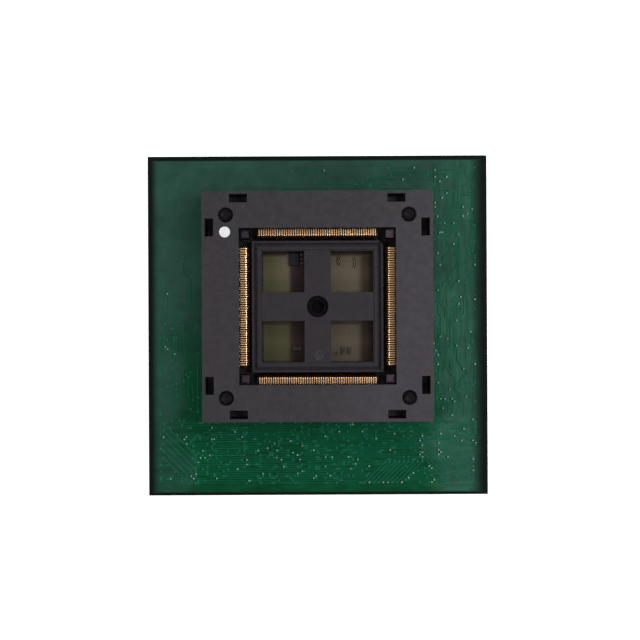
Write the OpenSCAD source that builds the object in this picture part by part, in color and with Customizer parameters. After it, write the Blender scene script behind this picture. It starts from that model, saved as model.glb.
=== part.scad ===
// Open-top zero-insertion-force socket for a 208-lead quad flat pack, on a square adapter board.
// +Z is up. The origin is the middle of the board's outline, level with the lowest face of the
// connector strips. Lengths are in millimetres.

/* [Adapter board] */
// Edge length of the square board
board_w = 76.2; // [75.6:0.1:78]
// Board thickness
board_t = 1.6; // [1.2:0.2:2.4]
// How far the socket sits off the board's middle, towards +Y
socket_offset = 4.2; // [0:0.1:5]
// Radius of the plated tail holes
tail_hole_r = 0.33; // [0.31:0.01:0.36]

/* [Contacts] */
// Contacts on each side
contacts_per_side = 52; // [40:4:52]
// Distance from one contact to the next
pitch = 0.5; // [0.48:0.01:0.51]
// Thickness of a contact blade
blade_t = 0.25; // [0.2:0.01:0.26]
// Gap on each side of a blade in its slot
blade_gap = 0.03; // [0.02:0.01:0.04]
// Length of the lever from the bend to the middle of its bump
lever_len = 4.83; // [4.7:0.01:4.95]
// How far the tails reach below the board
tail_below = 0.9; // [0.5:0.1:1.2]

/* [Cover] */
// Edge length of the square cover
cover_w = 50; // [50:0.1:50.8]
// Edge length of the square opening
opening_w = 34; // [33.8:0.1:34.2]
// Height of the cover's top face above the board
cover_top = 16.5; // [16.2:0.1:17.5]
// Thickness of the top plate
plate_t = 2.2; // [2:0.1:2.4]
// How far the cover is pressed down
stroke = 2.5; // [2:0.1:2.5]
// Distance of the guide posts from the middle, along both axes
post_pos = 19.8; // [19.7:0.05:19.9]
// Distance of the latch slots from the middle, along the side
latch_along = 17.1; // [17:0.05:17.2]
// Length of a latch slot
latch_slot_l = 3.9; // [3.6:0.1:4]
// Width of a latch slot
latch_slot_w = 1.85; // [1.7:0.05:1.9]
// Thickness of the wall outside a latch slot
latch_wall = 0.675; // [0.6:0.025:0.75]
// Radius of the mark for contact one
dot_r = 1.2; // [1:0.1:1.3]

/* [Nest] */
// Edge length of the square nest
nest_w = 28.9; // [28.7:0.1:29]
// Distance of the windows' inner edges from the middle, along X
window_x0 = 2.9; // [2.8:0.1:3.4]
// Distance of the windows' inner edges from the middle, along Y
window_y0 = 3.15; // [3:0.05:3.5]
// Distance of the windows' outer edges from the middle
window_out = 12.25; // [11.5:0.05:12.3]
// Radius of the centre hole
centre_hole_r = 1.45; // [1.2:0.05:1.8]
// Radius of the step round the centre hole
centre_step_r = 2.3; // [2:0.05:2.85]

/* [Springs and posts] */
// Radius of a guide post
post_r = 1.5; // [1.4:0.05:1.55]
// Diameter of the spring wire
wire_d = 0.5; // [0.4:0.05:0.55]
// Working turns of a spring, without its closed end turns
spring_turns = 6; // [4:1:7]

/* [Connector strips] */
// Contacts in one row of a strip; each strip has two rows
strip_ways = 26; // [20:1:26]
// Distance from one strip contact to the next
strip_pitch = 1.27; // [1.2:0.01:1.27]
// Height of a strip's body
strip_h = 4.6; // [4:0.1:5]
// Width of a strip's body
strip_w = 3.4; // [3.2:0.1:3.6]

/* [Hidden] */
$fn = 32;
fine_fn = 64;
eps = 0.01;
cut = 1;

NORTH = 0;
EAST = 1;
SOUTH = 2;
WEST = 3;

// fits between pieces that move on each other
slide_gap = 0.05;
free_gap = 0.1;
lever_gap = 0.03;
stop_gap = 0.2;

// heights of the board above the lowest face
foot_t = 0.2;
board_z = strip_h + foot_t;
board_top = board_z + board_t;

// levels of the socket, counted from the board's top
plate_z = 0.5;
floor_z = 1.5;
floor_top = 4.2;
bar_top = 2.5;

// contact profile, in the plane across a row: distance from the socket's middle, height
bar_in = 14.75;
bar_out = 21.1;
tail_w = 0.4;
tail_first = 15.2;
tail_step = 1.8;
tail_rows = 4;
tail_point = 0.12;
jaw_in = 14.8;
jaw_w = 0.5;
jaw_top = 8;
jaw_tip_h = 0.35;
bend = [17.6, 6.2];
hub_r = 0.45;
seat_t = 0.4;
seat_from = 185;
seat_to = 285;
coil_mid = [17.6, 4.3];
coil_r = 1.6;
coil_t = 0.45;
coil_from = 108;
coil_to = 272;
keeper_w = 0.7;
keeper_top = 3.9;
keeper_barb = 0.15;
swing = 2 * asin(stroke / (2 * lever_len));
bump_r = 0.45;
bump_drop = 0.2;
bump = bend + lever_len * [cos(swing / 2), sin(swing / 2)];
lever_end = bump + bump_drop * [sin(swing / 2), -cos(swing / 2)];
lever_w_bend = 0.6;
lever_w_end = 0.44;
neck_top = [17, 9.3];
neck_w_bend = 0.75;
neck_w_top = 0.6;
brow = [15.75, 9.35];
brow_w = 0.5;
nose = [14.92, 8.2];
nose_w = 0.24;

// contact rows
row_half = (contacts_per_side - 1) / 2 * pitch;
row_end = row_half + pitch;
slot_w = blade_t + 2 * blade_gap;
slot_in = bar_in - free_gap;
slot_out = bar_out + free_gap;
comb_in = 15.45;
comb_w = 0.9;
comb_top = 9;

// cover
cover_half = cover_w / 2;
plate_under = cover_top - plate_t;
skirt_t = 1;
skirt_h = 2;
skirt_z = plate_under - skirt_h;
inner_skirt_t = 1;
inner_skirt_h = 1.4;
inner_skirt_z = plate_under - inner_skirt_h;
rail_t = 1.4;
rail_in = bump[0] - rail_t / 2;
rail_z = bump[1] + bump_r + lever_gap;
rail_foot_t = 1;
rail_over = 0.2;
rail_half = row_end + rail_over;
guide_hole_r = post_r + slide_gap;
guide_mouth_gap = 0.2;
guide_mouth_r = post_r + guide_mouth_gap;
guide_mouth_h = 0.7;
latch_mid = cover_half - latch_wall - latch_slot_w / 2;
leg_in = cover_half - latch_wall;
hook_top = 6.2;
hook_h = 1.3;
hook_tip_h = 0.3;
hook_reach = 1.4;
dot_pos = [-20, 16.1];
dot_depth = 0.3;
dot_t = 0.25;

// base
base_half = cover_half - free_gap;
base_wall_top = skirt_z - stroke - stop_gap;
base_wall_t = 1.6;
pocket_half = 22.6;
corner_in = 16.9;
corner_foot_in = 14.2;
post_recess = 0.6;
post_top = cover_top - post_recess;
post_chamfer = 0.25;
post_dish_r = 1.2;
post_dish_h = 0.22;
post_dish_steps = 4;
spring_gap = 0.35;
spring_pocket_gap = 0.25;
spring_pocket_r = post_r + spring_gap + wire_d + spring_pocket_gap;
spring_pocket_z = 3;
latch_play = 0.2;
leg_room_z = hook_top - hook_h - stroke - stop_gap;
hook_room_in = leg_in - hook_reach - latch_play;
stop_mid = 15.9;
stop_w = 1.8;
stop_top = 11;
stop_chamfer = 0.3;

// nest
nest_half = nest_w / 2;
nest_top = 7.6;
rest_rib = [12.55, 13.1];
rest_top = 8.3;
shelf_top = 7.9;
groove = [13.4, 13.9];
groove_z = 6.6;
locating_rib_in = 14;
locating_top = 8.7;
nest_corner_cut = 1;
centre_step_h = 2;
base_centre_hole_r = 1.9;
base_centre_hole_z = 2.6;
pad_mark = [0.2, -10.7];
pad_mark_r = 1.15;
pad_mark_t = 0.08;

// guide plate and springs
guide_plate_half = pocket_half - free_gap;
spring_r = post_r + spring_gap + wire_d / 2;
closed_pitch = 1.05;
spring_end_turns = 1;
spring_steps = 12;
wire_sides = 6;

// connector strips
strip_inset = 3.5;
strip_pos = board_w / 2 - strip_inset;
strip_end = 0.3;
strip_l = strip_ways * strip_pitch + 2 * strip_end;
strip_row = 0.635;
strip_hole = 0.7;
strip_blade_t = 0.18;
strip_blade_w = 0.4;
strip_blade_z = 0.8;
strip_foot_out = 2.6;

function on_row(i) = (i - (contacts_per_side - 1) / 2) * pitch;
function tail_at(i) = tail_first + (i % tail_rows) * tail_step;
function polar(mid, r, a) = mid + r * [cos(a), sin(a)];

module in_socket() {
    translate([0, socket_offset, board_top]) children();
}

// puts what is drawn for the north side on the side with this number
module on_side(side) {
    rotate([0, 0, -90 * side]) children();
}

module on_all_sides() {
    for (side = [0:3]) on_side(side) children();
}

// stands a profile across a row up on the north side, t thick along the row
module blade(t) {
    rotate([90, 0, 90]) linear_extrude(height = t, center = true) children();
}

module at_corners(d) {
    for (x = [-d, d])
        for (y = [-d, d])
            translate([x, y, 0]) children();
}

module slab(z0, z1) {
    translate([0, 0, z0]) linear_extrude(height = z1 - z0) children();
}

// a square ring between two half widths
module square_ring(outer, inner) {
    difference() {
        square(2 * outer, center = true);
        square(2 * inner, center = true);
    }
}

module box_2d(low, high) {
    translate(low) square(high - low);
}

// a bar from a to b with round ends, of width wa at a and wb at b
module limb(a, b, wa, wb) {
    run = b - a;
    side = [-run[1], run[0]] / norm(run);
    polygon([a + side * wa / 2, b + side * wb / 2, b - side * wb / 2, a - side * wa / 2]);
    translate(a) circle(r = wa / 2);
    translate(b) circle(r = wb / 2);
}

// part of a ring about mid, t thick outward from r, between two angles less than 180 apart
module arc_band(mid, r, t, from, to) {
    far = 4 * (r + t);
    half = (from + to) / 2;
    intersection() {
        translate(mid) difference() {
            circle(r = r + t, $fn = fine_fn);
            circle(r = r, $fn = fine_fn);
        }
        polygon([mid, polar(mid, far, from), polar(mid, far, half), polar(mid, far, to)]);
    }
}

// ---- contacts ----

// the fixed half of a contact: tail, foot bar, lower jaw, C-spring with the seat, and keeper
module root_profile(tail_r) {
    tail_end = -board_t - tail_below;
    box_2d([bar_in, floor_z], [bar_out, bar_top]);
    polygon([
        [tail_r - tail_w / 2, floor_z + eps],
        [tail_r - tail_w / 2, tail_end + tail_point],
        [tail_r - tail_w / 2 + tail_point, tail_end],
        [tail_r + tail_w / 2 - tail_point, tail_end],
        [tail_r + tail_w / 2, tail_end + tail_point],
        [tail_r + tail_w / 2, floor_z + eps]
    ]);
    polygon([
        [jaw_in, bar_top - eps],
        [jaw_in, jaw_top - jaw_tip_h],
        [jaw_in + tail_point, jaw_top],
        [jaw_in + jaw_w - tail_point, jaw_top],
        [jaw_in + jaw_w, jaw_top - jaw_tip_h],
        [jaw_in + jaw_w, bar_top - eps]
    ]);
    arc_band(coil_mid, coil_r - coil_t / 2, coil_t, coil_from, coil_to);
    arc_band(bend, hub_r + lever_gap, seat_t, seat_from, seat_to);
    polygon([
        [bar_out - keeper_w, bar_top - eps],
        [bar_out - keeper_w, keeper_top],
        [bar_out - keeper_barb, keeper_top],
        [bar_out, keeper_top - 2 * keeper_barb],
        [bar_out - keeper_barb, keeper_top - 3 * keeper_barb],
        [bar_out - keeper_barb, bar_top - eps]
    ]);
}

// the moving half of a contact: hub in the bend, neck, brow and nose, and the lever with its bump
module arm_profile() {
    translate(bend) circle(r = hub_r);
    limb(bend, neck_top, neck_w_bend, neck_w_top);
    limb(neck_top, brow, neck_w_top, brow_w);
    limb(brow, nose, brow_w, nose_w);
    limb(bend, lever_end, lever_w_bend, lever_w_end);
    translate(bump) circle(r = bump_r);
}

module contact_roots(side) {
    color([0.83, 0.66, 0.36]) in_socket() on_side(side)
        for (i = [0:contacts_per_side - 1])
            translate([on_row(i), 0, 0]) blade(blade_t) root_profile(tail_at(i));
}

module contact_arms(side) {
    color([0.86, 0.68, 0.38]) in_socket() on_side(side)
        for (i = [0:contacts_per_side - 1])
            translate([on_row(i), 0, 0]) blade(blade_t) arm_profile();
}

module tail_holes(r) {
    on_all_sides()
        for (i = [0:contacts_per_side - 1])
            translate([on_row(i), tail_at(i)]) circle(r = r);
}

// the slots for one side's blades
module blade_slots() {
    for (i = [0:contacts_per_side - 1])
        translate([on_row(i) - slot_w / 2, slot_in]) square([slot_w, slot_out - slot_in]);
}

// the four windows in the middle
module windows() {
    for (x = [-1, 1])
        for (y = [-1, 1])
            window(x, y);
}

module window(x, y) {
    w = window_out - window_x0;
    h = window_out - window_y0;
    translate([x * (window_x0 + w / 2), y * (window_y0 + h / 2)]) square([w, h], center = true);
}

// ---- board ----

module adapter_board() {
    color([0.05, 0.30, 0.20]) difference() {
        slab(board_z, board_top) square(board_w, center = true);
        translate([0, socket_offset, 0])
            slab(board_z - eps, board_top + eps) tail_holes(tail_hole_r);
    }
}

module socket_strip(side) {
    color([0.08, 0.08, 0.09]) on_side(side) translate([0, strip_pos, 0])
        slab(0, strip_h) difference() {
            square([strip_l, strip_w], center = true);
            for (i = [0:strip_ways - 1])
                for (row = [-strip_row, strip_row])
                    translate([(i - (strip_ways - 1) / 2) * strip_pitch, row])
                        square(strip_hole, center = true);
        }
}

module strip_blade_profile(row) {
    s = sign(row);
    outer = row + s * strip_hole / 2;
    polygon([
        [outer - s * strip_blade_t, strip_blade_z],
        [outer, strip_blade_z],
        [outer, strip_h],
        [s * strip_foot_out, strip_h],
        [s * strip_foot_out, strip_h + foot_t],
        [outer - s * strip_blade_t, strip_h + foot_t]
    ]);
}

module strip_contacts(side) {
    color([0.83, 0.66, 0.36]) on_side(side) translate([0, strip_pos, 0])
        for (i = [0:strip_ways - 1])
            for (row = [-strip_row, strip_row])
                translate([(i - (strip_ways - 1) / 2) * strip_pitch, 0, 0])
                    blade(strip_blade_w) strip_blade_profile(row);
}

// ---- base ----

module base_plan() {
    difference() {
        square(2 * base_half, center = true);
        on_all_sides() blade_slots();
        windows();
    }
}

// the outer wall, thicker at the four corners
module wall_plan() {
    difference() {
        union() {
            square_ring(base_half, base_half - base_wall_t);
            at_corners((corner_in + base_half) / 2) square(base_half - corner_in, center = true);
            on_all_sides() for (x = [-1, 1])
                translate([x * (corner_foot_in + base_half) / 2, (pocket_half + base_half) / 2])
                    square([base_half - corner_foot_in, base_half - pocket_half], center = true);
        }
        at_corners(post_pos) circle(r = spring_pocket_r);
    }
}

module comb_plan() {
    on_all_sides() difference() {
        translate([-row_end, comb_in]) square([2 * row_end, comb_w]);
        blade_slots();
    }
}

// a square post with a chamfered top
module chamfered_post(w, z0, z1, c) {
    h = w / 2;
    profile = [[-h, z0], [h, z0], [h, z1 - c], [h - c, z1], [-h + c, z1], [-h, z1 - c]];
    intersection() {
        blade(w) polygon(profile);
        rotate([0, 0, 90]) blade(w) polygon(profile);
    }
}

// height of the dished top of a post, at a share of the dish's radius
function post_dish_z(t) = post_top - post_dish_h * (1 - t * t);

module guide_post() {
    n = post_dish_steps;
    rotate_extrude($fn = fine_fn) polygon(concat(
        [
            [0, spring_pocket_z - eps],
            [post_r, spring_pocket_z - eps],
            [post_r, post_top - post_chamfer],
            [post_r - post_chamfer, post_top]
        ],
        [for (k = [n:-1:0]) [post_dish_r * k / n, post_dish_z(k / n)]]
    ));
}

// the room for one latch leg and its hook, on the north side
module latch_room() {
    half = latch_slot_l / 2 + latch_play;
    blade(2 * half) {
        box_2d([leg_in - latch_play, leg_room_z], [cover_half + cut, base_wall_top + cut]);
        box_2d([hook_room_in, leg_room_z], [cover_half + cut, hook_top + slide_gap]);
    }
}

module socket_base() {
    color([0.13, 0.12, 0.13]) in_socket() {
        difference() {
            union() {
                slab(0, floor_z) square_ring(base_half, pocket_half);
                slab(floor_z, floor_top) base_plan();
                slab(floor_top - eps, base_wall_top) wall_plan();
                slab(floor_top - eps, comb_top) comb_plan();
                at_corners(stop_mid)
                    chamfered_post(stop_w, floor_top - eps, stop_top, stop_chamfer);
            }
            at_corners(post_pos)
                slab(spring_pocket_z, floor_top + cut) circle(r = spring_pocket_r);
            slab(base_centre_hole_z, floor_top + cut) circle(r = base_centre_hole_r);
            on_all_sides() for (x = [-latch_along, latch_along])
                translate([x, 0, 0]) latch_room();
        }
        at_corners(post_pos) guide_post();
    }
}

module tail_guide_plate() {
    color([0.16, 0.15, 0.16]) in_socket() slab(plate_z, floor_z) difference() {
        square(2 * guide_plate_half, center = true);
        tail_holes(tail_hole_r);
        windows();
    }
}

// ---- nest ----

module nest_plan() {
    difference() {
        square(2 * nest_half, center = true);
        windows();
        translate([nest_half, nest_half]) rotate([0, 0, 45])
            square(nest_corner_cut * sqrt(2), center = true);
    }
}

module package_nest() {
    color([0.17, 0.16, 0.17]) in_socket() difference() {
        union() {
            slab(floor_top, nest_top) nest_plan();
            intersection() {
                slab(nest_top - eps, locating_top) nest_plan();
                union() {
                    slab(floor_top, shelf_top) square_ring(nest_half, rest_rib[0]);
                    slab(floor_top, rest_top) square_ring(rest_rib[1], rest_rib[0]);
                    slab(floor_top, locating_top) square_ring(nest_half, locating_rib_in);
                }
            }
        }
        slab(groove_z, locating_top) square_ring(groove[1], groove[0]);
        slab(floor_top - cut, nest_top + cut) circle(r = centre_hole_r);
        slab(nest_top - centre_step_h, nest_top + cut) circle(r = centre_step_r, $fn = fine_fn);
        slab(nest_top - pad_mark_t, nest_top + cut) translate(pad_mark) circle(r = pad_mark_r);
    }
}

// ---- cover ----

module latch_slots() {
    on_all_sides() for (x = [-latch_along, latch_along])
        translate([x, latch_mid]) square([latch_slot_l, latch_slot_w], center = true);
}

module latch_leg() {
    blade(latch_slot_l) polygon([
        [cover_half, plate_under + eps],
        [cover_half, hook_top - hook_h],
        [leg_in, hook_top - hook_h],
        [leg_in - hook_reach, hook_top - hook_tip_h],
        [leg_in - hook_reach, hook_top],
        [leg_in, hook_top],
        [leg_in, plate_under + eps]
    ]);
}

// press rail: a deep rib whose narrow foot stands on the bumps of one row's levers
module press_rail() {
    foot_in = bump[0] - rail_foot_t / 2;
    blade(2 * rail_half) polygon([
        [rail_in, plate_under + eps],
        [rail_in, rail_z + rail_foot_t],
        [foot_in, rail_z],
        [foot_in + rail_foot_t, rail_z],
        [rail_in + rail_t, rail_z + rail_foot_t],
        [rail_in + rail_t, plate_under + eps]
    ]);
}

module cover() {
    color([0.24, 0.23, 0.25]) in_socket() difference() {
        union() {
            slab(plate_under, cover_top) square_ring(cover_half, opening_w / 2);
            slab(skirt_z, plate_under + eps) square_ring(cover_half, cover_half - skirt_t);
            slab(inner_skirt_z, plate_under + eps)
                square_ring(opening_w / 2 + inner_skirt_t, opening_w / 2);
            on_all_sides() {
                press_rail();
                for (x = [-latch_along, latch_along]) translate([x, 0, 0]) latch_leg();
            }
        }
        slab(hook_top, cover_top + cut) latch_slots();
        at_corners(post_pos) {
            slab(plate_under - cut, cover_top + cut) circle(r = guide_hole_r, $fn = fine_fn);
            slab(cover_top - guide_mouth_h, cover_top + cut) circle(r = guide_mouth_r, $fn = fine_fn);
        }
        translate(dot_pos) slab(cover_top - dot_depth, cover_top + cut) circle(r = dot_r);
    }
}

module pin_one_dot() {
    color([0.93, 0.93, 0.90]) in_socket() translate(dot_pos)
        slab(cover_top - dot_depth, cover_top - dot_depth + dot_t) circle(r = dot_r - slide_gap / 2);
}

// ---- springs ----

// height of the wire's middle after some turns: closed end turns, open working turns between
function wire_z(turn, z0, z1) =
    let (
        total = spring_turns + 2 * spring_end_turns,
        closed = wire_d * closed_pitch * spring_end_turns,
        low = z0 + wire_d / 2,
        high = z1 - wire_d / 2,
        rise = (high - low - 2 * closed) / spring_turns
    )
    turn < spring_end_turns ? low + closed * turn / spring_end_turns
    : turn > total - spring_end_turns ? high - closed * (total - turn) / spring_end_turns
    : low + closed + rise * (turn - spring_end_turns);

module coil_spring(z0, z1) {
    total = spring_turns + 2 * spring_end_turns;
    rings = total * spring_steps;
    points = [
        for (k = [0:rings])
            for (s = [0:wire_sides - 1])
                let (
                    turn = k / spring_steps,
                    a = 360 * turn,
                    b = 90 + 360 * s / wire_sides,
                    r = spring_r + wire_d / 2 * cos(b)
                )
                [r * cos(a), r * sin(a), wire_z(turn, z0, z1) + wire_d / 2 * sin(b)]
    ];
    skin = [
        for (k = [0:rings - 1])
            for (s = [0:wire_sides - 1])
                let (
                    next = (s + 1) % wire_sides,
                    p = k * wire_sides
                )
                [p + s, p + next, p + wire_sides + next, p + wire_sides + s]
    ];
    first = [for (s = [wire_sides - 1:-1:0]) s];
    last = [for (s = [0:wire_sides - 1]) rings * wire_sides + s];
    polyhedron(points = points, faces = concat(skin, [first], [last]), convexity = 10);
}

module return_spring(x, y) {
    color([0.62, 0.62, 0.64]) in_socket() translate([x * post_pos, y * post_pos, 0])
        coil_spring(spring_pocket_z, plate_under);
}

adapter_board();
socket_base();
tail_guide_plate();
package_nest();
cover();
pin_one_dot();
contact_roots(NORTH);  // contact_roots_north
contact_roots(EAST);  // contact_roots_east
contact_roots(SOUTH);  // contact_roots_south
contact_roots(WEST);  // contact_roots_west
contact_arms(NORTH);  // contact_arms_north
contact_arms(EAST);  // contact_arms_east
contact_arms(SOUTH);  // contact_arms_south
contact_arms(WEST);  // contact_arms_west
return_spring(1, 1);  // return_spring_ne
return_spring(1, -1);  // return_spring_se
return_spring(-1, -1);  // return_spring_sw
return_spring(-1, 1);  // return_spring_nw
socket_strip(NORTH);  // socket_strip_north
socket_strip(EAST);  // socket_strip_east
socket_strip(SOUTH);  // socket_strip_south
socket_strip(WEST);  // socket_strip_west
strip_contacts(NORTH);  // strip_contacts_north
strip_contacts(EAST);  // strip_contacts_east
strip_contacts(SOUTH);  // strip_contacts_south
strip_contacts(WEST);  // strip_contacts_west
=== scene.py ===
"""Looks for an open-top zero-insertion-force socket on its square adapter board.

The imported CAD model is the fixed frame. This script gives its nodes procedural finishes, swaps the
moulded pieces for copies with softened edges, winds the return springs, and dresses both faces of
the board with traces, vias and solder. Lengths below are in millimetres; Blender gets metres.
"""

import logging
import math
import random
from dataclasses import dataclass, field
from enum import Enum
from functools import reduce
from typing import Sequence

import bmesh
import bpy
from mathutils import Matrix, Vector


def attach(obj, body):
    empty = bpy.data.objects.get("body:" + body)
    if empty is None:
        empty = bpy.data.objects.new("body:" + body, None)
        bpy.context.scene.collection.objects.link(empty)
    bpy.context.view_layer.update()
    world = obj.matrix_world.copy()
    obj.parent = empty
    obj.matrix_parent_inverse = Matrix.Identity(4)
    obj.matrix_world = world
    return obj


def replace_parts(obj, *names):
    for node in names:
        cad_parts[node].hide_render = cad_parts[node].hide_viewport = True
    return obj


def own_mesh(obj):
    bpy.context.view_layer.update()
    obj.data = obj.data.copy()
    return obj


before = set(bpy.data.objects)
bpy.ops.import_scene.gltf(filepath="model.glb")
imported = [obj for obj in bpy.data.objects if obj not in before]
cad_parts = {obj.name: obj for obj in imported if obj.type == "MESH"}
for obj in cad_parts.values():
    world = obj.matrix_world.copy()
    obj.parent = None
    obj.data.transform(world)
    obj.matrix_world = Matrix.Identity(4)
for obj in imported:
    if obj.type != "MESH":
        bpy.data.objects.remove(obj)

log = logging.getLogger("socket")

MM = 0.001
SOCKET = Vector((0.0, 4.2, 6.4))
BOARD_HALF = 38.1
BOARD_TOP = 6.4
BOARD_UNDER = 4.8
SIDES = ("north", "east", "south", "west")
FLAT = 0.9999  # cosine between the normals of two faces that count as one flat area
WELD = 2e-6  # metres within which the CAD mesh's corners are one
SHARP = 35.0  # degrees; edges that turn more than this get rounded

Socket = bpy.types.NodeSocket
Node = bpy.types.Node
Mesh = bpy.types.Mesh
Object = bpy.types.Object
Point = tuple[float, float, float]
Colour = tuple[float, float, float]
Span = tuple[float, float]
Cell = tuple[int, int]


class Body(Enum):
    """Bodies of the frame that new pieces ride on."""

    BASE = "board_and_base"
    COVER = "cover_frame"


class Face(Enum):
    """The two faces of the board."""

    TOP = 1
    UNDER = -1


# ---- node trees ----


@dataclass
class Tree:
    """Adds nodes to a node tree and joins them.

    Attributes:
        tree: The tree that the nodes go into.
    """

    tree: bpy.types.NodeTree

    def node(self, kind: str, links: dict | None = None, **settings: object) -> Node:
        """Adds one node.

        Args:
            kind: The node's bl_idname.
            links: Input name or number to a socket, which is joined, or to a value, which is set.
            **settings: The node's own properties.

        Returns:
            The new node.
        """
        new = self.tree.nodes.new(kind)
        for key, value in settings.items():
            setattr(new, key, value)
        for key, value in (links or {}).items():
            socket = new.inputs[key]
            if isinstance(value, Socket):
                self.join(value, socket)
            else:
                socket.default_value = value
        return new

    def join(self, start: Socket, end: Socket) -> None:
        """Links an output to an input."""
        self.tree.links.new(start, end)

    def maths(self, operation: str, *values: object) -> Socket:
        """Adds a Math node and returns its result."""
        return self.node(
            "ShaderNodeMath", dict(enumerate(values)), operation=operation
        ).outputs[0]

    def times(self, *values: object) -> Socket:
        """Returns the product of the values."""
        return reduce(lambda a, b: self.maths("MULTIPLY", a, b), values)

    def largest(self, *values: object) -> Socket:
        """Returns the largest of the values."""
        return reduce(lambda a, b: self.maths("MAXIMUM", a, b), values)

    def size(self, value: object) -> Socket:
        """Returns the value without its sign."""
        return self.maths("ABSOLUTE", value)

    def axes(self, vector: object) -> tuple[Socket, ...]:
        """Returns a vector's x, y and z."""
        return tuple(self.node("ShaderNodeSeparateXYZ", {0: vector}).outputs)

    def stretched(self, vector: object, scale: Point, turn: float = 0.0) -> Socket:
        """Returns a vector with its axes scaled, then turned about z."""
        return self.node(
            "ShaderNodeMapping", {"Vector": vector, "Rotation": (0, 0, turn), "Scale": scale}
        ).outputs[0]

    def reach(self, vector: object, middle: Span) -> Socket:
        """Returns how far a place lies from the upright line through middle."""
        x, y, _ = self.axes(vector)
        flat = self.node("ShaderNodeCombineXYZ", {
            0: self.maths("SUBTRACT", x, middle[0]), 1: self.maths("SUBTRACT", y, middle[1]),
        }).outputs[0]
        return self.node("ShaderNodeVectorMath", {0: flat}, operation="LENGTH").outputs["Value"]

    def moved(self, part: Node, **change: object) -> Node:
        """Returns a node's geometry, moved or turned."""
        return self.node("GeometryNodeTransform", {0: part.outputs[0], **change})

    def swept(self, line: Node, profile: Node, caps: bool = True) -> Socket:
        """Returns the surface that a profile draws along a curve, closed at its ends."""
        links = {"Curve": line.outputs[0], "Profile Curve": profile.outputs[0], "Fill Caps": caps}
        return self.node("GeometryNodeCurveToMesh", links).outputs[0]

    def joined(self, *parts: Node) -> Node:
        """Joins the geometry of some nodes."""
        both = self.node("GeometryNodeJoinGeometry")
        for part in parts:
            self.join(part.outputs[0], both.inputs[0])
        return both

    def step(self, value: object, low: float, high: float) -> Socket:
        """Returns 0 below low, 1 above high and a smooth step between."""
        return self.node(
            "ShaderNodeMapRange",
            {"Value": value, "From Min": low, "From Max": high},
            interpolation_type="SMOOTHSTEP",
        ).outputs[0]

    def spread(self, value: object, low: float, high: float) -> Socket:
        """Returns a noise value from its usual 0.3 to 0.7 spread over low to high."""
        return self.node(
            "ShaderNodeMapRange",
            {"Value": value, "From Min": 0.3, "From Max": 0.7, "To Min": low, "To Max": high},
        ).outputs[0]

    def noise(self, vector: object, scale: float, detail: float = 2.0) -> Socket:
        """Returns a noise texture's value; scale is in features per millimetre."""
        return self.node(
            "ShaderNodeTexNoise", {"Vector": vector, "Scale": scale, "Detail": detail}
        ).outputs["Fac"]

    def mix(self, share: object, a: object, b: object) -> Socket:
        """Returns number a mixed with number b by share."""
        return self.node("ShaderNodeMix", {0: share, 2: a, 3: b}, data_type="FLOAT").outputs[0]

    def blend(self, share: object, a: object, b: object) -> Socket:
        """Returns colour a mixed with colour b by share."""
        mix = self.node("ShaderNodeMix", {0: share}, data_type="RGBA")
        for socket, value in ((mix.inputs[6], a), (mix.inputs[7], b)):
            if isinstance(value, Socket):
                self.join(value, socket)
            else:
                socket.default_value = (*value, 1.0)
        return mix.outputs[2]

    def tint(self, colour: object, factor: object) -> Socket:
        """Returns a colour or another vector times a number."""
        scaled = self.node("ShaderNodeVectorMath", {0: colour, "Scale": factor}, operation="SCALE")
        return scaled.outputs[0]


# ---- finishes ----


@dataclass(frozen=True)
class Finish:
    """A surface finish that builds its own material.

    Attributes:
        name: The material's name.
        slot: The record's material slot that it stands for; not used.
        colour: Linear base colour.
        roughness: Mean roughness.
        grain: Fine features per millimetre.
        relief: Depth of the fine relief, in millimetres.
        metal: 1 for bare metal, 0 for anything else.
        gloss: Strength of the surface reflection; 0.5 is plain plastic.
    """

    name: str
    slot: str
    colour: Colour
    roughness: float = 0.5
    grain: float = 8.0
    relief: float = 0.01
    metal: float = 0.0
    gloss: float = 0.5

    def material(self) -> bpy.types.Material:
        """Returns the finish's material, made on first use."""
        known = bpy.data.materials.get(self.name)
        if known:
            return known
        made = bpy.data.materials.new(self.name)
        made.use_nodes = True
        made.diffuse_color = (*self.colour, 1.0)
        tree = Tree(made.node_tree)
        shader = next(n for n in made.node_tree.nodes if n.type == "BSDF_PRINCIPLED")
        for name, value in (
            ("Base Color", (*self.colour, 1.0)), ("Metallic", self.metal),
            ("Roughness", self.roughness), ("Specular IOR Level", self.gloss),
        ):
            shader.inputs[name].default_value = value
        where = tree.tint(tree.node("ShaderNodeTexCoord").outputs["Object"], 1 / MM)
        self.dress(tree, shader, where)
        return made

    def colour_at(self, tree: Tree, where: Socket) -> Socket:
        """Returns the base colour over the surface: here a soft mottle."""
        cloud = tree.spread(tree.noise(where, 0.35, 3.0), 0.9, 1.1)
        speck = tree.spread(tree.noise(where, self.grain * 0.5), 0.94, 1.06)
        return tree.tint(self.colour, tree.times(cloud, speck))

    def dress(self, tree: Tree, shader: Node, where: Socket) -> None:
        """Joins colour, roughness and relief to the shader."""
        tree.join(self.colour_at(tree, where), shader.inputs["Base Color"])
        spread = 0.12 * self.roughness
        rough = tree.spread(
            tree.noise(where, 0.8, 4.0), self.roughness - spread, self.roughness + spread
        )
        tree.join(rough, shader.inputs["Roughness"])
        bump = tree.node(
            "ShaderNodeBump",
            {"Height": self.height_at(tree, where), "Strength": 0.6, "Distance": self.relief * MM},
        )
        tree.join(bump.outputs[0], shader.inputs["Normal"])

    def height_at(self, tree: Tree, where: Socket) -> Socket:
        """Returns the height of the fine relief, from 0 to 1."""
        return tree.noise(where, self.grain, 3.0)


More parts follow.
